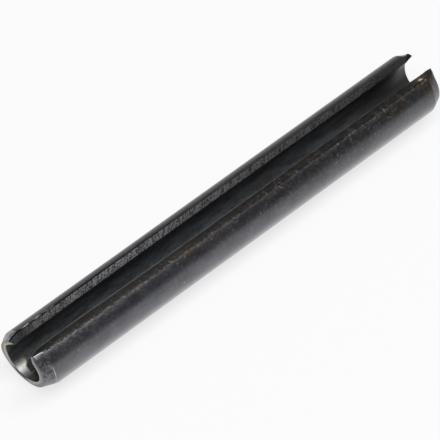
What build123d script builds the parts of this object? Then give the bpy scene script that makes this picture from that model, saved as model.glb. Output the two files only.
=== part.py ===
from build123d import *
import os
from math import cos, radians, sin

# Slotted spring pin (roll pin): one strip of spring steel rolled into an open tube, tapered at both
# ends so that it enters its hole. It lies along X as it comes to rest, with the slot facing up.
# The origin is on the pin's axis at mid length. Millimetres, with angles in degrees.

LENGTH = 50.0  # along the axis, from end face to end face
OUTER_DIAMETER = 6.4  # free, before the pin is squeezed into its 6 mm hole
WALL = 1.15  # thickness of the rolled strip
END_DIAMETER = 5.4  # of each end face, small enough to enter the hole
TAPER_LENGTH = 1.05  # of the lead-in taper at each end
LIP_ROUNDING = 0.1  # radius of the strip's slit corners

# The four corners of the slot, as angles round the axis from straight up, positive towards +Y.
# The strip's edges were slit at a slant, so the slot sits further back at the bore than outside.
BACK_LIP_OUTSIDE = 24.0
BACK_LIP_BORE = 46.0
FRONT_LIP_BORE = -23.0
FRONT_LIP_OUTSIDE = -35.5

# The end at -X was cut a little out of square, which leaves the pin longest on its upper back side.
OUT_OF_SQUARE = 6.5
LONG_SIDE = 42.0  # angle round the axis from straight up, positive towards +Y

OUTER_RADIUS = OUTER_DIAMETER / 2
BORE_RADIUS = OUTER_RADIUS - WALL
TRIM = OUTER_DIAMETER  # extra length at each end, cut away again with the tapers


def on_circle(radius, angle):
    """A point of the cross-section, as Y and Z, at an angle from straight up towards +Y."""
    return radius * sin(radians(angle)), radius * cos(radians(angle))


def rolled_section():
    """The open ring of the rolled strip, in the YZ plane."""
    back_outside = on_circle(OUTER_RADIUS, BACK_LIP_OUTSIDE)
    back_bore = on_circle(BORE_RADIUS, BACK_LIP_BORE)
    front_bore = on_circle(BORE_RADIUS, FRONT_LIP_BORE)
    front_outside = on_circle(OUTER_RADIUS, FRONT_LIP_OUTSIDE)
    outline = Curve() + [
        ThreePointArc(back_outside, (0, -OUTER_RADIUS), front_outside),
        Line(front_outside, front_bore),
        ThreePointArc(front_bore, (0, -BORE_RADIUS), back_bore),
        Line(back_bore, back_outside),
    ]
    ring = make_face(outline)
    return fillet(ring.vertices(), LIP_ROUNDING)


def tapered_end(end_x, inward):
    """A cone that opens along the pin from one end face; what lies outside it is cut away."""
    reach = LENGTH + 2 * TRIM
    growth = (OUTER_DIAMETER - END_DIAMETER) / 2 / TAPER_LENGTH
    end_radius = END_DIAMETER / 2
    cone = Cone(end_radius, end_radius + growth * reach, reach, align=(Align.CENTER, Align.CENTER, Align.MIN))
    return Plane(origin=(end_x, 0, 0), z_dir=inward) * cone


def spring_pin():
    """The whole pin, rolled and slotted, with both ends tapered."""
    start = Plane.YZ.offset(-LENGTH / 2 - TRIM)
    tube = extrude(start * rolled_section(), amount=LENGTH + 2 * TRIM)
    lean_y, lean_z = on_circle(sin(radians(OUT_OF_SQUARE)), LONG_SIDE)
    leaning_end = tapered_end(-LENGTH / 2, inward=(cos(radians(OUT_OF_SQUARE)), lean_y, lean_z))
    square_end = tapered_end(LENGTH / 2, inward=(-1, 0, 0))
    return tube & leaning_end & square_end


os.makedirs("parts", exist_ok=True)
pin = spring_pin()
pin.label = "spring_pin"
export_step(pin, "parts/spring_pin.step")
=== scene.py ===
from math import acos, atan2, cos, degrees, exp, radians, sin, sqrt, tau

import bmesh
import bpy
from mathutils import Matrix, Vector, noise


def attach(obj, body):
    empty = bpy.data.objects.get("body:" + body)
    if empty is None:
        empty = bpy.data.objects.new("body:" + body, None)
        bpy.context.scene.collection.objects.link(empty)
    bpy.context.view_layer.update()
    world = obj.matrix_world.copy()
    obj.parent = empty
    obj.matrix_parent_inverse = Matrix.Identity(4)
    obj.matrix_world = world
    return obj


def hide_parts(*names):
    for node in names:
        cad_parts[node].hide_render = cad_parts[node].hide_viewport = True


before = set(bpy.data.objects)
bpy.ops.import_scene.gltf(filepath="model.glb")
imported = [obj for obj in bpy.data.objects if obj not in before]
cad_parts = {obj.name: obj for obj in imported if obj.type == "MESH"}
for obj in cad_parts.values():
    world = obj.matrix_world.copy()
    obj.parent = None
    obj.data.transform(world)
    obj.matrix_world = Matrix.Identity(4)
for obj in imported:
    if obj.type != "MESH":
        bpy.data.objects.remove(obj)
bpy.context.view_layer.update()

# ---------------------------------------------------------------------------------------------
# The strip: spring steel, slit to width on a shear that leaves its two long edges slanted and
# striped, with its corners dulled by tumbling. It is laid out flat here, outside face up and
# in millimetres, and is rolled further on.
# ---------------------------------------------------------------------------------------------
LENGTH = 50.0
OUTER_RADIUS = 3.2
WALL = 1.15
BORE_RADIUS = OUTER_RADIUS - WALL
TAPER_LENGTH = 1.05

# the slot's corners, as angles round the axis from straight up, positive towards +Y
BACK_LIP_OUTSIDE = 24.0
BACK_LIP_BORE = 46.0
FRONT_LIP_BORE = -23.0
FRONT_LIP_OUTSIDE = -35.5

TUMBLED_CORNER = 0.10  # rounding of the outside corners, which rub on the other pins in the barrel
TUMBLED_STEPS = 4
INNER_CORNER = 0.06
INNER_STEPS = 2
ALONG = 496  # cuts along the plain part of the pin
ALONG_TAPER = 13  # cuts along each taper
ACROSS = 69  # cuts across the strip, on each face
THROUGH = 6  # cuts through the wall, on each slit edge
TOUCHING = 1e-4  # a point this near a face of the strip counts as lying on it


def round_axis(radius, angle):
    """The (y, z) of a point at a radius and an angle round the axis, from straight up."""
    return Vector((radius * sin(angle), radius * cos(angle)))


def slit_edge(outside_angle, bore_angle):
    """A slit edge seen end on, as the angle at which its straight line crosses each radius."""
    outside = round_axis(OUTER_RADIUS, radians(outside_angle))
    bore = round_axis(BORE_RADIUS, radians(bore_angle))
    along = (outside - bore).normalized()
    foot = bore - along * bore.dot(along)
    turn = 1.0 if outside.x * bore.y - outside.y * bore.x > 0.0 else -1.0

    def angle_at(radius):
        return atan2(foot.x, foot.y) + turn * acos(min(1.0, foot.length / radius))

    return angle_at


back_edge = slit_edge(BACK_LIP_OUTSIDE, BACK_LIP_BORE)
front_edge = slit_edge(FRONT_LIP_OUTSIDE, FRONT_LIP_BORE)
middle_radius = OUTER_RADIUS - WALL / 2
wrap = tau + front_edge(middle_radius) - back_edge(middle_radius)
strip_width = middle_radius * wrap


def reach(edge, axis):
    """How far an edge runs along one axis: 0 along the pin, 1 across the strip, 2 through it."""
    return abs(edge.verts[0].co[axis] - edge.verts[1].co[axis])


pin = bmesh.new()
bmesh.ops.create_cube(pin, size=1.0)
bmesh.ops.scale(pin, vec=(LENGTH, strip_width, WALL), verts=pin.verts)
end_faces = [f for f in pin.faces if abs(f.normal.x) > 0.9]
bmesh.ops.delete(pin, geom=end_faces, context="FACES_ONLY")

for side, rounding, steps in ((1, TUMBLED_CORNER, TUMBLED_STEPS), (-1, INNER_CORNER, INNER_STEPS)):
    corners = [
        e for e in pin.edges
        if reach(e, 0) > LENGTH / 2
        and all(side * v.co.z > WALL / 2 - TOUCHING for v in e.verts)
        and all(abs(v.co.y) > strip_width / 2 - TOUCHING for v in e.verts)
    ]
    bmesh.ops.bevel(
        pin, geom=corners, offset=rounding, offset_type="OFFSET", segments=steps, profile=0.5,
        affect="EDGES", material=-1,
    )

for end in (-1, 1):
    bmesh.ops.bisect_plane(
        pin, geom=pin.verts[:] + pin.edges[:] + pin.faces[:], dist=1e-5,
        plane_co=(end * (LENGTH / 2 - TAPER_LENGTH), 0, 0), plane_no=(1, 0, 0),
    )

# the rounded corners leave the edges across and through the strip a little short of full length
for axis, full_length, cuts in (
    (0, LENGTH - 2 * TAPER_LENGTH, ALONG),
    (0, TAPER_LENGTH, ALONG_TAPER),
    (1, strip_width, ACROSS),
    (2, WALL, THROUGH),
):
    long_edges = [e for e in pin.edges if 0.8 < reach(e, axis) / full_length < 1.1]
    bmesh.ops.subdivide_edges(pin, edges=long_edges, cuts=cuts, use_grid_fill=True)

# Each face of the strip takes its own finish, which is set while the strip is still flat.
OUTSIDE, TAPER, BACK_EDGE, FRONT_EDGE, BORE, END_FACE, CORNER = range(7)
pin.normal_update()
for face in pin.faces:
    middle = face.calc_center_median()
    sideways = abs(face.normal.y)
    if 0.1 < sideways < 0.99 and middle.z > 0:
        face.material_index = CORNER
    elif sideways > 0.7:
        face.material_index = BACK_EDGE if middle.y > 0 else FRONT_EDGE
    elif middle.z < 0:
        face.material_index = BORE
    elif abs(middle.x) > LENGTH / 2 - TAPER_LENGTH:
        face.material_index = TAPER
    else:
        face.material_index = OUTSIDE
    face.smooth = True


def open_rim(end):
    """The edges of the hole at one end of the strip."""
    return [
        e for e in pin.edges
        if e.is_boundary and all(end * v.co.x > LENGTH / 2 - TOUCHING for v in e.verts)
    ]


# each end is closed by a ladder of faces between the two broad sides, and one face at each lip
for end in (-1, 1):
    rungs_apart = strip_width / (ACROSS + 1)
    broad_sides = [e for e in open_rim(end) if reach(e, 1) > 0.6 * rungs_apart]
    closing = bmesh.ops.bridge_loops(pin, edges=broad_sides)["faces"]
    closing += bmesh.ops.holes_fill(pin, edges=open_rim(end), sides=0)["faces"]
    for face in closing:
        face.material_index = END_FACE

# ---------------------------------------------------------------------------------------------
# Rolling: the strip is rolled until its edges nearly meet, cut to length and swaged to a short
# cone at both ends. The -X end was cut out of square and swaged unevenly, and the other end
# keeps the ragged burrs of the cut-off on both lips.
# ---------------------------------------------------------------------------------------------
END_RADIUS = 2.7
OUT_OF_SQUARE = radians(6.5)
LONG_SIDE = radians(42.0)
LEAN_KEPT = 1.3  # the lean is whole this far from the -X end, and dies out over the next 9 mm
LEAN_FADE = 9.0
CONE_EDGE = 0.05  # rounding where a cone meets the plain outside
SHALLOW_CONE = 0.12  # the -X cone stands this much prouder at its back
SHALLOW_CONE_TURN = 95.0
SHALLOW_CONE_SPREAD = 30.0
taper_growth = (OUTER_RADIUS - END_RADIUS) / TAPER_LENGTH
lean = round_axis(sin(OUT_OF_SQUARE), LONG_SIDE)
leaning_inward = Vector((cos(OUT_OF_SQUARE), lean.x, lean.y))
leaning_end = Vector((-LENGTH / 2, 0.0, 0.0))


def eased(value):
    """A smooth step from 0 to 1, as the value goes from 0 to 1."""
    value = min(1.0, max(0.0, value))
    return value * value * (3.0 - 2.0 * value)


def rising(value, start, over):
    """A smooth step up from 0 to 1, beginning at one value and taking some distance over it."""
    return eased((value - start) / over)


def falling(value, end, over):
    """A smooth step down from 1 to 0, taking some distance over it and done at one value."""
    return eased((end - value) / over)


def bell(distance, width):
    """1 at no distance, and fading out on both sides."""
    return exp(-((distance / width) ** 2))


def leaned(x, y, z):
    """Where a station of the strip goes, so that the -X end lies in its leaning cut."""
    shift = -(lean.x * y + lean.y * z) / cos(OUT_OF_SQUARE)
    return x + shift * (1.0 - rising(x + LENGTH / 2, LEAN_KEPT, LEAN_FADE))


def tapered_radius(x, angle):
    """Outside radius of the rolled strip at one station and angle, with both cones."""
    radius = OUTER_RADIUS
    proud = SHALLOW_CONE * bell(degrees(angle) - SHALLOW_CONE_TURN, SHALLOW_CONE_SPREAD)
    # the lean moves the point to another part of the cone, so its radius is found in a few steps
    for _ in range(4):
        y, z = round_axis(radius, angle)
        off = Vector((leaned(x, y, z), y, z)) - leaning_end
        deep = off.dot(leaning_inward)
        from_leaning_axis = (off - deep * leaning_inward).length
        near_cone = (END_RADIUS + proud + taper_growth * deep) * radius / from_leaning_axis
        far_cone = END_RADIUS + taper_growth * (LENGTH / 2 - x)
        cone = min(near_cone, far_cone)
        blend = max(0.0, CONE_EDGE - abs(cone - OUTER_RADIUS)) / CONE_EDGE
        radius = min(OUTER_RADIUS, cone) - CONE_EDGE / 4 * blend * blend
    return radius


def dents(x, seed):
    """Unevenness along a corner, between -1 and 1."""
    long_dents = noise.noise(Vector((x * 0.8, 0.0, seed)))
    short_dents = noise.noise(Vector((x * 2.9, 0.0, seed)))
    return long_dents * 0.6 + short_dents * 0.4


def from_corner(along_face, depth):
    """Distance from an outside corner, counted a little short along the outside."""
    return sqrt((along_face * 0.8) ** 2 + (depth * WALL) ** 2)


# how much nearer the back the shear left two parts of the slit edges, as angles round the axis
BACK_CORNER_SHIFT = radians(1.2)
BACK_CORNER_MORE = radians(2.6)  # added at the -X end, and gone 40 mm further along
BACK_CORNER_FADE = 40.0
FRONT_BORE_SHIFT = radians(4.0)
FRONT_BORE_MORE = radians(5.0)  # added at the -X end, and gone 22 mm further along
FRONT_BORE_FADE = 22.0
FRONT_BORE_LESS = radians(3.2)  # taken off at the far end, from 21 mm past the middle
FRONT_BORE_LESS_FROM = 21.0
FRONT_BORE_LESS_OVER = 3.0

# the mouth at the -X end, as swaging left it: angles, and sizes in mm
FRONT_CORNER_BACK = radians(5.5)
FRONT_CORNER_FADE = 3.2
FRONT_BORE_FORWARD = radians(9.0)
FRONT_BORE_FORWARD_FADE = 1.2
FRONT_TIP_FORWARD = radians(3.0)
FRONT_TIP_FADE = 0.6
FLARE = 0.25
FLARE_LENGTH = 0.35
FRONT_TIP_SET_BACK = 0.26
BACK_TIP_SET_BACK = 0.38
SET_BACK_WIDTH = 0.5
SET_BACK_LENGTH = 1.4
BULGE_AT_TIP = 0.15
BULGE_TIP_LENGTH = 0.8
BULGE_ALONG = 0.065
BULGE_ALONG_LENGTH = 16.0
BULGE_DOWN = 0.70
BULGE_FORWARD = 0.72

# the far end's back lip, broken at its inner corner
FAR_SET_BACK = 0.50
FAR_SET_BACK_WIDTH = 0.9
FAR_SET_BACK_LENGTH = 1.8

# the burrs at the far end: how far each is pushed up and to the back, its length and its width
BACK_BURR_UP = 0.16
BACK_BURR_BACK = 0.24
BACK_BURR_IN = 0.22  # its middle, in from the end
BACK_BURR_LENGTH = 0.15
BACK_BURR_WIDTH = 0.34
BACK_TIP_UP = 0.14
BACK_TIP_BACK = -0.28
BACK_TIP_LENGTH = 0.45
BACK_TIP_RAMP = 0.40
BACK_TIP_WIDTH = 0.16
FRONT_TIP_UP = 0.58
FRONT_TIP_BACK = 0.10
FRONT_TIP_LENGTH = 0.80
FRONT_TIP_WIDTH = 0.40
BURRS_WITHIN = 2.0  # no burr reaches further than this from the far end

# wear beside the outside corners, and the waviness of the outside
RUB_DEPTH = 0.018  # on average
RUB_WIDTH = 0.28
RUB_SHARE_OF_WALL = 0.35
FRONT_RUB_WIDTH = 0.17
BACK_RUB_WIDTH = 0.16
SCUFF_WIDTH = 0.75
SCUFF_WIDER = 0.55  # added towards the far end, from 4 mm before the middle to 10 mm past it
SCUFF_WIDER_FROM = -4.0
SCUFF_WIDER_OVER = 14.0
DULL_WIDTH = 1.6
WAVINESS = 0.004

# the painted pool of light in the bore's mouth at the -X end: its brightest line and how fast it fades
# on both sides, in degrees, and the place, slant and softness of its inner side, in mm
PATCH_TURN = 153.5
PATCH_SPREAD_BEFORE = 8.0
PATCH_SPREAD_AFTER = 8.5
PATCH_INNER_SIDE = -24.10
PATCH_SLANT = 0.35
PATCH_SOFTNESS = 0.24
MOUTH_SHADE_ENDS = -22.4  # how far into the bore the painted shade in its mouth reaches

# what the finishes need to know of each point: its place on the flat strip, and how worn it is
flat_strip = pin.verts.layers.float_vector.new("flat_strip")
front_rub = pin.verts.layers.float.new("front_rub")
front_scuff = pin.verts.layers.float.new("front_scuff")
back_dull = pin.verts.layers.float.new("back_dull")
back_rub = pin.verts.layers.float.new("back_rub")
mouth_highlight = pin.verts.layers.float.new("mouth_highlight")
mouth_shade = pin.verts.layers.float.new("mouth_shade")
grooved_mouth = pin.verts.layers.float.new("grooved_mouth")
dulled_rim = pin.verts.layers.float.new("dulled_rim")
thin_rim = pin.verts.layers.float.new("thin_rim")

for vert in pin.verts:
    flat_x, w, t = vert.co
    near_end = flat_x < 0
    along = flat_x + LENGTH / 2
    from_end = LENGTH / 2 - abs(flat_x)
    across = 0.5 - w / strip_width  # 0 at the back edge, 1 at the front edge
    depth = 0.5 - t / WALL  # 0 outside, 1 in the bore
    outward = 1.0 - depth
    to_back = strip_width / 2 - w
    to_front = strip_width / 2 + w

    # the radius: a cone at each end, and a bore that flares beside the back lip at the -X end
    middle_angle = back_edge(middle_radius) + across * wrap
    radius = BORE_RADIUS + (tapered_radius(flat_x, middle_angle) - BORE_RADIUS) * outward
    at_back_lip = near_end * falling(degrees(middle_angle), 85.0, 30.0)
    radius += FLARE * depth * at_back_lip * max(0.0, 1.0 - from_end / FLARE_LENGTH) ** 1.5

    # the angle: between the two slit edges, where the shear and the swage left them
    shift = BACK_CORNER_SHIFT + BACK_CORNER_MORE * (1.0 - rising(along, 0.0, BACK_CORNER_FADE))
    back_angle = back_edge(radius) + shift * outward
    shift = FRONT_BORE_SHIFT + FRONT_BORE_MORE * (1.0 - rising(along, 0.0, FRONT_BORE_FADE))
    shift -= FRONT_BORE_LESS * rising(flat_x, FRONT_BORE_LESS_FROM, FRONT_BORE_LESS_OVER)
    front_angle = tau + front_edge(radius) + shift * depth
    if near_end:
        front_angle += FRONT_CORNER_BACK * outward * exp(-from_end / FRONT_CORNER_FADE)
        front_angle -= FRONT_BORE_FORWARD * depth * exp(-from_end / FRONT_BORE_FORWARD_FADE)
        front_angle -= FRONT_TIP_FORWARD * bell(from_end, FRONT_TIP_FADE)
    angle = back_angle + across * (front_angle - back_angle)

    # the outside corners of both lips are rubbed down unevenly, and the outside is a little wavy
    for to_corner, seed in ((to_front, 3.0), (to_back, 8.0)):
        rubbed = bell(to_corner, RUB_WIDTH) * bell(depth, RUB_SHARE_OF_WALL)
        radius -= rubbed * RUB_DEPTH * (1.0 + dents(flat_x, seed))
    wave = noise.noise(Vector((flat_x * 0.35, w * 0.9, depth * 3.0)))
    radius -= WAVINESS * (1.0 + wave) * (depth < 0.5)

    y, z = round_axis(radius, angle)
    x = leaned(flat_x, y, z)
    turn = degrees(angle)

    # wear beside the lips, by distance from their outside corners
    vert[flat_strip] = (flat_x, to_front, depth)
    scuff_width = SCUFF_WIDTH + SCUFF_WIDER * rising(flat_x, SCUFF_WIDER_FROM, SCUFF_WIDER_OVER)
    vert[front_rub] = bell(from_corner(to_front, depth), FRONT_RUB_WIDTH)
    vert[front_scuff] = bell(from_corner(to_front, depth), scuff_width)
    vert[back_dull] = bell(to_back, DULL_WIDTH) * outward
    vert[back_rub] = bell(from_corner(to_back, depth), BACK_RUB_WIDTH)

    # the painted pool of light in the bore's mouth: brightest along one line, with a slanted inner side
    patch_depth = PATCH_INNER_SIDE + PATCH_SLANT * (1.0 - rising(turn, 146.0, 12.0))
    inner_side = eased((x - patch_depth) / PATCH_SOFTNESS + 0.5)
    spread = PATCH_SPREAD_BEFORE if turn < PATCH_TURN else PATCH_SPREAD_AFTER
    lit_patch = depth * (1.0 - inner_side) * rising(turn, 126.0, 14.0)
    vert[mouth_highlight] = lit_patch / (1.0 + ((turn - PATCH_TURN) / spread) ** 2)

    # painted shade further in and at the bottom, with paler grooves through it, and inside the back lip
    shade_in_mouth = depth * max(inner_side * rising(turn, 141.0, 10.0), rising(turn, 178.0, 12.0))
    shade_in_mouth *= falling(x, MOUTH_SHADE_ENDS, 1.0)
    vert[grooved_mouth] = shade_in_mouth * rising(turn, 176.0, 8.0) * falling(turn, 216.0, 8.0)
    vert[mouth_shade] = max(shade_in_mouth, depth * at_back_lip * falling(from_end, 0.5, 0.3))

    # the cut end is dulled near the bottom, and its bright ring thins out at the front
    vert[dulled_rim] = rising(turn, 138.0, 10.0) * falling(turn, 192.0, 14.0)
    vert[thin_rim] = rising(turn, 205.0, 22.0)

    if near_end:
        # the front lip's tip is set back, and so is the back lip's inner corner, which also bulges
        # inwards
        by_length = 1.0 - rising(from_end, 0.0, SET_BACK_LENGTH)
        x += BACK_TIP_SET_BACK * depth * bell(to_back, SET_BACK_WIDTH) * by_length
        x += FRONT_TIP_SET_BACK * bell(to_front, SET_BACK_WIDTH) * by_length
        bulge = BULGE_AT_TIP * bell(from_end, BULGE_TIP_LENGTH)
        bulge += BULGE_ALONG * (1.0 - rising(from_end, 0.0, BULGE_ALONG_LENGTH))
        bulge *= depth * bell(to_back, SET_BACK_WIDTH)
        y -= BULGE_FORWARD * bulge
        z -= BULGE_DOWN * bulge
    else:
        by_length = 1.0 - rising(from_end, 0.0, FAR_SET_BACK_LENGTH)
        x -= FAR_SET_BACK * depth * bell(to_back, FAR_SET_BACK_WIDTH) * by_length

    # the burrs that the cut-off left standing on both lips at the far end
    if not near_end and from_end < BURRS_WITHIN:
        ragged = 0.85 + 0.4 * noise.noise(Vector((flat_x * 6.0, w * 5.0, 1.7)))
        back_burr = bell(from_end - BACK_BURR_IN, BACK_BURR_LENGTH)
        back_burr *= bell(to_back, BACK_BURR_WIDTH) * outward
        back_tip = falling(from_end, BACK_TIP_LENGTH, BACK_TIP_RAMP)
        back_tip *= bell(to_back, BACK_TIP_WIDTH) * outward
        front_tip = falling(from_end, FRONT_TIP_LENGTH, FRONT_TIP_LENGTH)
        front_tip *= bell(to_front, FRONT_TIP_WIDTH) * outward
        z += (BACK_BURR_UP * back_burr + FRONT_TIP_UP * front_tip) * ragged + BACK_TIP_UP * back_tip
        y += (BACK_BURR_BACK * back_burr + FRONT_TIP_BACK * front_tip) * ragged + BACK_TIP_BACK * back_tip
    vert.co = (x, y, z)

bmesh.ops.recalc_face_normals(pin, faces=pin.faces)
if pin.calc_volume(signed=True) < 0.0:
    bmesh.ops.reverse_faces(pin, faces=pin.faces)
METRES = 0.001  # in each of the millimetres used so far
bmesh.ops.scale(pin, vec=(METRES, METRES, METRES), verts=pin.verts)
pin_mesh = bpy.data.meshes.new("rolled_pin")
pin.to_mesh(pin_mesh)
pin.free()
rolled_pin = bpy.data.objects.new("rolled_pin", pin_mesh)
bpy.context.scene.collection.objects.link(rolled_pin)

# ---------------------------------------------------------------------------------------------
# The finish: hardened steel, blackened in a hot bath and oiled. The outside is smooth and
# slightly blue, the bore duller, the cones show turning lines, and the slit edges keep the
# shear's cross stripes. Dirt, rust and bare steel show where the oil wore off. Some light and
# shade is painted in too: a pool of light and painted shade in the bore's mouth at the -X end,
# and painted highlights along the front lip's inner corner and on its tip.
# ---------------------------------------------------------------------------------------------
BLACKENED = (0.054, 0.0555, 0.066, 1.0)
BLACKENED_PALE = (0.100, 0.1015, 0.120, 1.0)
THIN_BLACK = (0.15, 0.15, 0.155, 1.0)
THIN_BLACK_PATCH = (0.25, 0.24, 0.25, 1.0)
RUBBED_STEEL = (0.42, 0.40, 0.36, 1.0)
BARE_STEEL_AND_HIGHLIGHT = (0.88, 0.88, 0.86, 1.0)
RUST = (0.11, 0.066, 0.044, 1.0)
OILY_PALE = (0.060, 0.056, 0.051, 1.0)
# a dark oil colour, also used as painted shade in the bore's mouth and on the front slit edge
DARK_OIL_AND_SHADE = (0.0175, 0.0166, 0.0153, 1.0)


def add(tree, kind, inputs=(), **settings):
    """One node, with a value or another node's output for each input named."""
    made = tree.nodes.new("ShaderNode" + kind)
    for key, value in settings.items():
        setattr(made, key, value)
    for key, value in dict(inputs).items():
        if isinstance(value, bpy.types.NodeSocket):
            tree.links.new(value, made.inputs[key])
        else:
            made.inputs[key].default_value = value
    return made


def finish(name, metallic, coat, coat_roughness):
    """A new steel finish: its material, its nodes, its shader and the flat strip's coordinates."""
    material = bpy.data.materials.new(name)
    material.use_nodes = True
    tree = material.node_tree
    shader = tree.nodes["Principled BSDF"]
    shader.inputs["Metallic"].default_value = metallic
    shader.inputs["Coat Weight"].default_value = coat
    shader.inputs["Coat Roughness"].default_value = coat_roughness
    strip = add(tree, "Attribute", attribute_name="flat_strip").outputs["Vector"]
    return material, tree, shader, strip


def measures(tree, strip):
    """Along the pin in mm, from the front edge in mm, and from 0 outside to 1 in the bore."""
    return add(tree, "SeparateXYZ", {0: strip}).outputs[:]


def painted(tree, name):
    """How strongly one kind of wear shows, as it was set while the strip was rolled."""
    return add(tree, "Attribute", attribute_name=name).outputs["Fac"]


def grain(tree, strip, scale, detail=3.0, roughness=0.55):
    """Noise on the strip; scale gives features per mm along and across it, and per wall's depth."""
    placed = add(tree, "Mapping", {"Vector": strip, "Scale": scale}).outputs[0]
    settings = {"Vector": placed, "Scale": 1.0, "Detail": detail, "Roughness": roughness}
    return add(tree, "TexNoise", settings).outputs[0]


def between(tree, value, low, high, to_low=0.0, to_high=1.0):
    """A value taken from one range to another, and held at the ends of it."""
    settings = {"Value": value, "From Min": low, "From Max": high, "To Min": to_low, "To Max": to_high}
    return add(tree, "MapRange", settings).outputs[0]


def times(tree, a, b):
    return add(tree, "Math", {0: a, 1: b}, operation="MULTIPLY").outputs[0]


def plus(tree, a, b):
    return add(tree, "Math", {0: a, 1: b}, operation="ADD").outputs[0]


def larger(tree, a, b):
    return add(tree, "Math", {0: a, 1: b}, operation="MAXIMUM").outputs[0]


def weighted(tree, a, weight, b):
    """b, with a added to it at that weight."""
    return add(tree, "Math", {0: a, 1: weight, 2: b}, operation="MULTIPLY_ADD").outputs[0]


def blended(tree, factor, a, b):
    return add(tree, "Mix", {0: factor, 6: a, 7: b}, data_type="RGBA").outputs[2]


def coloured(tree, shader, colour, height, depth_mm):
    """Gives a finish its colour, and a relief of that many millimetres."""
    tree.links.new(colour, shader.inputs["Base Color"])
    bump = add(tree, "Bump", {"Height": height, "Distance": depth_mm * METRES, "Strength": 1.0})
    tree.links.new(bump.outputs[0], shader.inputs["Normal"])


def worn(tree, strip, colour, rub_share):
    """Rust, grime and specks beside the front corner, bare steel on both outside corners, and a painted
    highlight on the front lip's tip.
    """
    x, _, depth = measures(tree, strip)
    scuff = painted(tree, "front_scuff")
    at_front = painted(tree, "front_rub")

    # rust in patches, most of it a little short of the middle and at the far end
    most = times(tree, between(tree, x, -11.0, -8.0, 0.0, 0.5), between(tree, x, -1.0, -4.0))
    most = larger(tree, most, between(tree, x, 17.0, 20.0))
    rusty = weighted(tree, most, 0.08, grain(tree, strip, (0.35, 1.2, 1.2), 4.0))
    rusty = times(tree, between(tree, rusty, 0.54, 0.66), between(tree, most, 0.0, 1.0, 0.3, 0.9))
    colour = blended(tree, times(tree, rusty, scuff), colour, RUST)

    # mottled grime, heavier towards the far end
    mottling = grain(tree, strip, (1.3, 1.8, 1.8), 4.0, 0.65)
    grime = blended(tree, between(tree, mottling, 0.46, 0.60), DARK_OIL_AND_SHADE, OILY_PALE)
    grimy = times(tree, between(tree, mottling, 0.32, 0.50), between(tree, x, -16.0, 8.0, 0.2, 0.9))
    colour = blended(tree, times(tree, grimy, scuff), colour, grime)

    # a broken rubbed line along the front corner, fainter towards the far end
    rubbed = times(tree, at_front, between(tree, x, -20.0, 6.0, 0.8, 0.1))
    unbroken = between(tree, grain(tree, strip, (4.0, 9.0, 9.0), 3.0, 0.7), 0.46, 0.62)
    rubbed = times(tree, rubbed, unbroken)
    colour = blended(tree, times(tree, rubbed, rub_share), colour, RUBBED_STEEL)

    # bare dashes along the back corner near the -X end, and a painted highlight on the front lip's tip
    dashed = times(tree, between(tree, x, -20.5, -19.5, 1.0, 0.0), between(tree, x, -23.6, -23.2))
    dashed = times(tree, painted(tree, "back_rub"), dashed)
    unbroken = between(tree, grain(tree, strip, (1.6, 9.0, 9.0), 2.0, 0.6), 0.48, 0.56)
    dashed = times(tree, times(tree, dashed, unbroken), between(tree, depth, 0.05, 0.02))
    colour = blended(tree, times(tree, dashed, 0.6), colour, BARE_STEEL_AND_HIGHLIGHT)
    # the painted highlight on the front lip's tip, where it runs onto the -X cone
    tip = times(tree, between(tree, at_front, 0.75, 0.95), between(tree, x, -23.8, -24.2))
    colour = blended(tree, tip, colour, BARE_STEEL_AND_HIGHLIGHT)

    # small pale specks, in patches
    specks = between(tree, grain(tree, strip, (2.6, 4.2, 4.2), 1.5), 0.60, 0.72)
    patches = between(tree, grain(tree, strip, (0.30, 0.4, 0.4), 2.0), 0.42, 0.62)
    dots = times(tree, times(tree, scuff, specks), patches)
    return blended(tree, times(tree, dots, 0.65), colour, RUBBED_STEEL)


def nicked(tree, strip, colour, share):
    """Sparse bright pinpoints where the black has flaked off."""
    cells = add(tree, "TexVoronoi", {"Vector": strip, "Scale": 1.1})
    drawn = add(tree, "SeparateColor", {0: cells.outputs["Color"]}).outputs[0]
    chosen = between(tree, drawn, 0.85, 0.87)
    point = between(tree, cells.outputs["Distance"], 0.11, 0.05)
    return blended(tree, times(tree, times(tree, chosen, point), share), colour, RUBBED_STEEL)


# the outside: fine draw lines along it, and the black thinner towards the -X end
outside, tree, shader, strip = finish("blackened_outside", metallic=1.0, coat=1.0, coat_roughness=0.25)
shader.inputs["Coat IOR"].default_value = 1.6
x, _, _ = measures(tree, strip)
cloudy = grain(tree, strip, (0.5, 0.8, 1.0), 4.0)
mottled = grain(tree, strip, (2.8, 3.4, 3.0), 4.0, 0.85)
draw_lines = grain(tree, strip, (0.12, 9.0, 1.0), 3.0)
tone = plus(tree, between(tree, cloudy, 0.35, 0.70), between(tree, mottled, 0.32, 0.68))
colour = blended(tree, between(tree, tone, 0.5, 1.4), BLACKENED, BLACKENED_PALE)
colour = blended(tree, between(tree, x, -21.5, -17.0, 0.2, 0.0), colour, THIN_BLACK)
colour = worn(tree, strip, nicked(tree, strip, colour, 0.8), 0.30)
scuff = painted(tree, "front_scuff")
thinned = times(tree, scuff, between(tree, x, -14.0, -21.5, 0.1, 0.62))
thinned = times(tree, thinned, between(tree, mottled, 0.47, 0.60))
colour = blended(tree, thinned, colour, THIN_BLACK_PATCH)
coloured(tree, shader, colour, weighted(tree, draw_lines, 0.4, mottled), 0.018)
# less oil and a duller surface beside both lips
dull = painted(tree, "back_dull")
oil = times(tree, between(tree, dull, 0.0, 1.0, 1.0, 0.15), between(tree, scuff, 0.0, 1.0, 1.0, 0.4))
tree.links.new(oil, shader.inputs["Coat Weight"])
dull = larger(tree, dull, times(tree, scuff, 0.6))
rough = weighted(tree, dull, 0.25, between(tree, cloudy, 0.3, 0.7, 0.30, 0.38))
tree.links.new(rough, shader.inputs["Roughness"])

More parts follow.
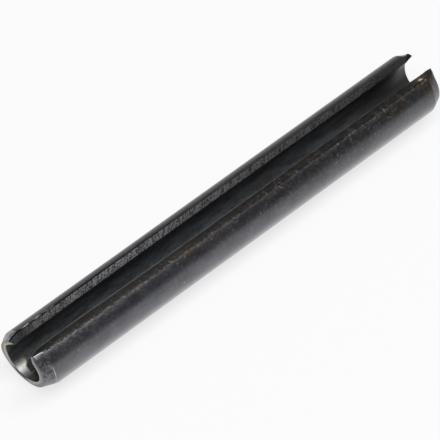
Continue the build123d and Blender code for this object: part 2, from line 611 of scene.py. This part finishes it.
# the cones: turning lines round them, paler beside the back lip at the -X end
TURNED_PALE = (0.24, 0.24, 0.25, 1.0)
TURNED_BY_LIP = (0.42, 0.41, 0.45, 1.0)
taper, tree, shader, strip = finish("turned_taper", metallic=1.0, coat=0.6, coat_roughness=0.35)
x, from_front, _ = measures(tree, strip)
turning = grain(tree, strip, (9.0, 0.25, 0.25), 3.0, 0.6)
cloudy = grain(tree, strip, (1.2, 1.2, 1.0), 5.0, 0.65)
speckled = grain(tree, strip, (3.0, 3.0, 3.0), 3.0, 0.8)
tone = weighted(tree, turning, cloudy, speckled)
colour = blended(tree, between(tree, tone, 0.65, 0.93), BLACKENED, TURNED_PALE)
near_cone = between(tree, x, 0.0, 1.0, 1.0, 0.0)
by_lip = times(tree, painted(tree, "back_dull"), between(tree, speckled, 0.40, 0.52, 0.1, 0.8))
colour = blended(tree, times(tree, by_lip, near_cone), colour, TURNED_BY_LIP)
# a bright line round the -X cone where it meets the outside, away from the front lip
ring = times(tree, between(tree, x, -24.02, -23.98), near_cone)
ring = times(tree, ring, between(tree, from_front, 0.6, 2.0, 0.0, 0.6))
broken = grain(tree, strip, (0.1, 0.9, 0.3), 2.0)
ring = times(tree, ring, between(tree, broken, 0.42, 0.58, 0.3, 1.0))
colour = blended(tree, ring, colour, BARE_STEEL_AND_HIGHLIGHT)
colour = worn(tree, strip, nicked(tree, strip, colour, 0.6), 0.35)
coloured(tree, shader, colour, weighted(tree, turning, 0.4, cloudy), 0.012)
tree.links.new(between(tree, cloudy, 0.3, 0.7, 0.34, 0.50), shader.inputs["Roughness"])

# the bore: dull scale with drawn lines, bluish before the middle and oily towards the far end
BORE_SCALE = (0.084, 0.087, 0.090, 1.0)
BORE_SCALE_BLUE = (0.077, 0.087, 0.098, 1.0)
BORE_SCALE_DARK = (0.028, 0.030, 0.032, 1.0)
BORE_CORNER_HIGHLIGHT = (0.30, 0.31, 0.32, 1.0)
GROOVE = (0.16, 0.155, 0.15, 1.0)
# the painted pool of light in the bore's mouth, whiter at the rim and yellower further in
HIGHLIGHT_AT_RIM = (0.78, 0.78, 0.84, 1.0)
HIGHLIGHT_FURTHER_IN = (0.82, 0.81, 0.72, 1.0)
bore, tree, shader, strip = finish("bore_scale", metallic=0.2, coat=0.5, coat_roughness=0.3)
x, from_front, _ = measures(tree, strip)
cloudy = grain(tree, strip, (0.35, 1.2, 1.0), 4.0)
speckled = grain(tree, strip, (2.4, 3.6, 3.0), 4.0, 0.85)
lines = grain(tree, strip, (0.2, 9.0, 1.0), 2.0)
grooves = grain(tree, strip, (0.4, 3.2, 1.0), 1.0)
blued = times(tree, between(tree, x, -20.0, -14.0), between(tree, x, 3.0, -1.0))
scale = blended(tree, blued, BORE_SCALE, BORE_SCALE_BLUE)
tone = plus(tree, cloudy, speckled)
colour = blended(tree, between(tree, tone, 0.85, 1.15), BORE_SCALE_DARK, scale)
colour = blended(tree, between(tree, x, 15.0, 22.0, 0.0, 0.9), colour, DARK_OIL_AND_SHADE)
# a painted highlight along the front lip's inner corner
colour = blended(tree, between(tree, from_front, 0.22, 0.04, 0.0, 0.6), colour, BORE_CORNER_HIGHLIGHT)
# its mouth at the -X end: painted shade, paler grooves through it, and a painted pool of light
# painted shade over the mouth, darkest at the front and bottom and in the back lip's flare
shade_at_mouth = painted(tree, "mouth_shade")
colour = blended(tree, shade_at_mouth, colour, DARK_OIL_AND_SHADE)
grooved = times(tree, painted(tree, "grooved_mouth"), between(tree, grooves, 0.50, 0.58))
colour = blended(tree, times(tree, grooved, 0.8), colour, GROOVE)
patchy = between(tree, grain(tree, strip, (2.6, 1.6, 1.0), 4.0, 0.7), 0.34, 0.56, 0.7, 1.0)
lit_patch = times(tree, painted(tree, "mouth_highlight"), patchy)
highlight_tone = blended(tree, between(tree, x, -24.85, -24.45), HIGHLIGHT_AT_RIM, HIGHLIGHT_FURTHER_IN)
colour = blended(tree, lit_patch, colour, highlight_tone)
at_mouth = between(tree, x, -23.6, -24.4)
coloured(tree, shader, colour, weighted(tree, times(tree, grooves, at_mouth), 3.0, lines), 0.008)
tree.links.new(between(tree, shade_at_mouth, 0.0, 1.0, 0.5, 0.0), shader.inputs["Coat Weight"])
rough = weighted(tree, shade_at_mouth, 0.35, between(tree, cloudy, 0.3, 0.7, 0.50, 0.38))
tree.links.new(rough, shader.inputs["Roughness"])


def sheared(name, metallic):
    """The start of a slit edge's finish, with stripes across it that fade towards both ends."""
    edge, tree, shader, strip = finish(name, metallic, coat=0.1, coat_roughness=0.4)
    x, _, _ = measures(tree, strip)
    stripes = grain(tree, strip, (7.0, 0.9, 0.9), 4.0, 0.7)
    hatch = plus(tree, stripes, grain(tree, strip, (5.5, 5.0, 6.0), 2.0, 0.6))
    kept = times(tree, between(tree, x, -10.0, 18.0, 1.0, 0.38), between(tree, x, 19.0, 23.0, 1.0, 0.1))
    kept = times(tree, kept, between(tree, x, -23.4, -15.0, 0.4, 1.0))
    tree.links.new(between(tree, x, 21.0, 24.0, 0.52, 0.85), shader.inputs["Roughness"])
    return edge, tree, shader, strip, hatch, kept


def striped(tree, x, hatch, kept, dark, pale, near_dirt):
    """A slit edge's stripes in two tones, with dirt over them at both ends."""
    colour = blended(tree, times(tree, between(tree, hatch, 0.91, 1.07), kept), dark, pale)
    colour = blended(tree, between(tree, x, 19.0, 23.0, 0.0, 0.9), colour, DARK_OIL_AND_SHADE)
    return blended(tree, between(tree, x, -21.6, -23.4, 0.0, 0.7), colour, near_dirt)


# the back slit edge: bare stripes, paler and closer towards the bore, and dirt along its outer
# side by the -X end
SHEARED_PALE = (0.80, 0.79, 0.78, 1.0)
SHEARED_PALER = (0.96, 0.95, 0.94, 1.0)
SHEARED_DARK = (0.10, 0.10, 0.10, 1.0)
sheared_back, tree, shader, strip, hatch, kept = sheared("sheared_back_edge", metallic=0.3)
x, _, depth = measures(tree, strip)
pale = blended(tree, between(tree, depth, 0.30, 1.00), SHEARED_PALE, SHEARED_PALER)
closer = plus(tree, hatch, between(tree, depth, 0.70, 1.05, 0.0, 0.05))
colour = striped(tree, x, closer, kept, SHEARED_DARK, pale, BORE_SCALE_DARK)
dirt = times(tree, between(tree, depth, 0.20, 0.08), between(tree, x, -18.0, -20.0, 0.0, 0.85))
colour = blended(tree, dirt, colour, DARK_OIL_AND_SHADE)
coloured(tree, shader, colour, hatch, 0.030)

# the front slit edge: oily, with painted shade towards the bore and a painted highlight along its inner
# corner
INNER_HIGHLIGHT = (0.195, 0.200, 0.195, 1.0)
TAN_OIL = (0.74, 0.58, 0.32, 1.0)
DROP_AT = (23.5, 0.0, 0.36)
DROP_PER_MM = (3.6, 0.0, 4.4)
sheared_front, tree, shader, strip, hatch, kept = sheared("sheared_front_edge", metallic=0.5)
x, _, depth = measures(tree, strip)
colour = striped(tree, x, hatch, kept, DARK_OIL_AND_SHADE, OILY_PALE, DARK_OIL_AND_SHADE)
colour = blended(tree, between(tree, depth, 0.55, 0.15, 0.0, 0.35), colour, OILY_PALE)
# painted shade on the half towards the bore
shaded = times(tree, between(tree, depth, 0.45, 0.62), between(tree, x, -14.0, 4.0, 0.1, 0.9))
colour = blended(tree, shaded, colour, DARK_OIL_AND_SHADE)
# a painted highlight along the inner corner, fainter towards the far end
inner_highlight = between(tree, grain(tree, strip, (0.8, 1.0, 1.0), 3.0), 0.35, 0.60, 0.5, 1.0)
inner_highlight = times(tree, inner_highlight, between(tree, depth, 0.76, 0.84))
inner_highlight = times(tree, inner_highlight, between(tree, x, 17.0, 23.0, 1.0, 0.2))
colour = blended(tree, inner_highlight, colour, INNER_HIGHLIGHT)
colour = worn(tree, strip, colour, 0.30)
# one dried drop of tan oil near the far end, with a rusty rim
off = add(tree, "VectorMath", {0: strip, 1: DROP_AT}, operation="SUBTRACT").outputs[0]
off = add(tree, "VectorMath", {0: off, 1: DROP_PER_MM}, operation="MULTIPLY").outputs[0]
off = add(tree, "VectorMath", {0: off}, operation="LENGTH").outputs["Value"]
colour = blended(tree, between(tree, off, 1.8, 1.2), colour, RUST)
colour = blended(tree, between(tree, off, 1.0, 0.5), colour, TAN_OIL)
coloured(tree, shader, colour, hatch, 0.030)

# the cut ends: ground, palest towards the bore
END_OUTER = (0.20, 0.18, 0.155, 1.0)
END_OUTER_FRONT = (0.15, 0.15, 0.165, 1.0)
END_BY_BORE = (0.46, 0.44, 0.39, 1.0)
END_GROUND = (0.20, 0.195, 0.185, 1.0)
END_DULLED = (0.085, 0.08, 0.075, 1.0)
end_face, tree, shader, strip = finish("cut_end", metallic=1.0, coat=0.3, coat_roughness=0.4)
_, _, depth = measures(tree, strip)
grind = grain(tree, strip, (1.0, 6.0, 3.0), 3.0)
thin = painted(tree, "thin_rim")
outer_tone = blended(tree, thin, END_OUTER, END_OUTER_FRONT)
by_bore = weighted(tree, thin, -0.27, depth)
colour = blended(tree, between(tree, by_bore, 0.25, 0.60), outer_tone, END_BY_BORE)
colour = blended(tree, between(tree, grind, 0.35, 0.65, 0.5, 0.0), colour, END_GROUND)
colour = blended(tree, painted(tree, "dulled_rim"), colour, END_DULLED)
coloured(tree, shader, colour, grind, 0.008)
shader.inputs["Roughness"].default_value = 0.42

# the rounded outside corners: flecked towards the -X end, the back one grey towards the far end
CORNER_FLECK = (0.13, 0.13, 0.13, 1.0)
CORNER_WORN = (0.060, 0.060, 0.060, 1.0)
corner, tree, shader, strip = finish("tumbled_corner", metallic=1.0, coat=0.0, coat_roughness=0.4)
x, _, _ = measures(tree, strip)
flecks = grain(tree, strip, (4.5, 7.0, 7.0), 3.0, 0.7)
at_back = painted(tree, "back_rub")
kept = times(tree, between(tree, x, -18.0, 6.0, 1.0, 0.15), between(tree, at_back, 0.0, 0.5, 1.0, 0.0))
flecked = times(tree, between(tree, flecks, 0.40, 0.62), kept)
colour = blended(tree, flecked, DARK_OIL_AND_SHADE, CORNER_FLECK)
worn_back = times(tree, between(tree, at_back, 0.1, 0.5), between(tree, x, -16.0, 4.0, 0.0, 0.9))
colour = blended(tree, worn_back, colour, CORNER_WORN)
coloured(tree, shader, worn(tree, strip, colour, 0.45), flecks, 0.020)
tree.links.new(between(tree, flecks, 0.3, 0.7, 0.75, 0.55), shader.inputs["Roughness"])

# in the order of the face numbers that the flat strip was given
for steel in (outside, taper, sheared_back, sheared_front, bore, end_face, corner):
    rolled_pin.data.materials.append(steel)
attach(rolled_pin, "root")
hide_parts("spring_pin")

# ---------------------------------------------------------------------------------------------
# The table: a smooth white sheet that the pin lies on, with the slot up as its weight turns it.
# It is one flat plane in one colour, large enough to fill every view. The camera and the steel
# see it as near white, and it keeps the pin's shadow.
# ---------------------------------------------------------------------------------------------
WHITE = (0.88, 0.88, 0.88, 1.0)
WHITENED = 0.75
TABLE_REACH = 3.0
TABLE_TOP = -0.003206  # a hair under the pin, so that the two don't share a surface
sheet = bmesh.new()
bmesh.ops.create_grid(sheet, x_segments=1, y_segments=1, size=TABLE_REACH)
bmesh.ops.translate(sheet, vec=(0, 0, TABLE_TOP), verts=sheet.verts)
sheet_mesh = bpy.data.meshes.new("table")
sheet.to_mesh(sheet_mesh)
sheet.free()
table = bpy.data.objects.new("table", sheet_mesh)
bpy.context.scene.collection.objects.link(table)
paper = bpy.data.materials.new("white_table")
paper.use_nodes = True
tree = paper.node_tree
tree.nodes.remove(tree.nodes["Principled BSDF"])
matt = add(tree, "BsdfDiffuse", {"Color": WHITE})
bright = add(tree, "Emission", {"Color": (1, 1, 1, 1), "Strength": 1.0})
rays = add(tree, "LightPath").outputs
seen = larger(tree, rays["Is Camera Ray"], rays["Is Glossy Ray"])
seen = larger(tree, seen, rays["Is Transmission Ray"])
mixed = add(tree, "MixShader", {0: times(tree, seen, WHITENED), 1: matt.outputs[0], 2: bright.outputs[0]})
tree.links.new(mixed.outputs[0], tree.nodes["Material Output"].inputs["Surface"])
table.data.materials.append(paper)

# ---------------------------------------------------------------------------------------------
# The light: one long softbox above the pin and a little in front of it, in a plain grey room.
# Together they light a level surface at a strength of about 1.
# ---------------------------------------------------------------------------------------------
ROOM_GREY = (0.185, 0.19, 0.20, 1.0)
SOFTBOX_AWAY = 0.55
room = bpy.data.worlds.new("grey_room")
bpy.context.scene.world = room
room.use_nodes = True
room.node_tree.nodes["Background"].inputs["Color"].default_value = ROOM_GREY

softbox = bpy.data.lights.new("softbox", "AREA")
softbox.shape = "RECTANGLE"
softbox.size = 1.0
softbox.size_y = 0.30
softbox.energy = 3.75
softbox_stand = bpy.data.objects.new("softbox", softbox)
bpy.context.scene.collection.objects.link(softbox_stand)
softbox_side = Vector((0.0, -0.17, 0.985)).normalized()
softbox_stand.location = softbox_side * SOFTBOX_AWAY
softbox_stand.rotation_euler = softbox_side.to_track_quat("Z", "Y").to_euler()

# ---------------------------------------------------------------------------------------------
# The camera: a long lens, held level, about 37 cm from the pin. It looks down on the pin from
# the front and the left, a little more from above than from the side.
# ---------------------------------------------------------------------------------------------
CAMERA_AT = (-0.1533893, -0.1664676, 0.2870421)
CAMERA_TILT = 38.224  # degrees up from facing straight down
CAMERA_TURN = -42.491  # degrees from facing +Y, clockwise where negative
lens = bpy.data.cameras.new("camera")
lens.lens = 321.77
lens.sensor_width = 36.0
lens.clip_start = 0.01
camera = bpy.data.objects.new("camera", lens)
bpy.context.scene.collection.objects.link(camera)
camera.location = CAMERA_AT
camera.rotation_euler = (radians(CAMERA_TILT), 0.0, radians(CAMERA_TURN))
bpy.context.scene.camera = camera
bpy.context.scene.view_settings.view_transform = "Standard"
